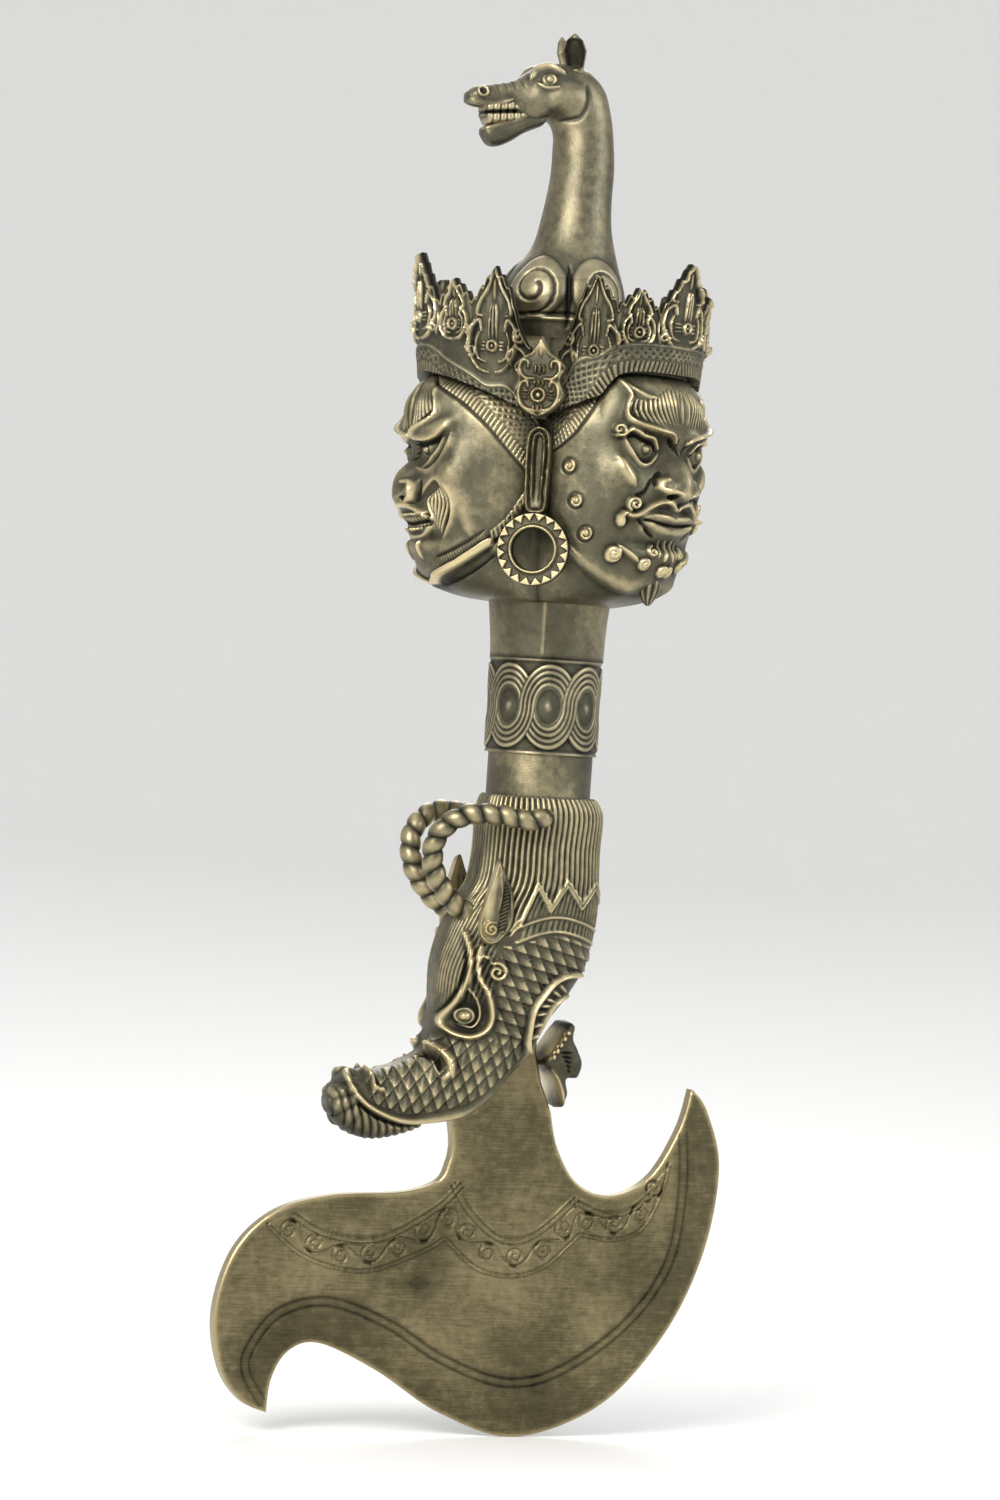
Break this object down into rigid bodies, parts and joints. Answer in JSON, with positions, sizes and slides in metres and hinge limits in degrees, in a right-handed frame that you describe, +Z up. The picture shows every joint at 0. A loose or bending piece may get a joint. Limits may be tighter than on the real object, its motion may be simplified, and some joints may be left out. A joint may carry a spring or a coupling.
{
  "type": "ritual chopper",
  "caption": "Brass kartika: crescent blade held in a makara's jaws, round grip with a braided sleeve, three-faced head under a leaf crown, and a horse's head on top.",
  "frame": {"origin": "middle of the grip, on its axis", "axes": "+Z up along the grip to the horse, -X to the front where the snouts point, blade in the XZ plane"},
  "size_m": [0.1261, 0.0776, 0.3364],
  "materials": {
    "brass": "dark olive-brown patina with worn bright edges",
    "blade_brass": "scratch-brushed under a dark patina",
    "dark_brass": "dark patina in the recesses"
  },
  "bodies": {
    "root": {"blade": "blade_brass", "makara_head": "brass", "makara_jaw": "brass", "horn_left": "brass", "horn_right": "brass", "leaf_ear_left": "brass", "leaf_ear_right": "brass", "grip_tube": "brass", "braid_sleeve": "dark_brass", "three_faced_head": "brass", "ear_left": "brass", "ear_right": "brass", "ear_rear": "brass", "earring_left": "brass", "earring_right": "brass", "earring_rear": "brass", "crown_front": "dark_brass", "crown_left": "dark_brass", "crown_right": "dark_brass", "seam_leaf_left": "brass", "seam_leaf_right": "brass", "seam_leaf_rear": "brass", "horse": "brass"}
  },
  "joints": []
}
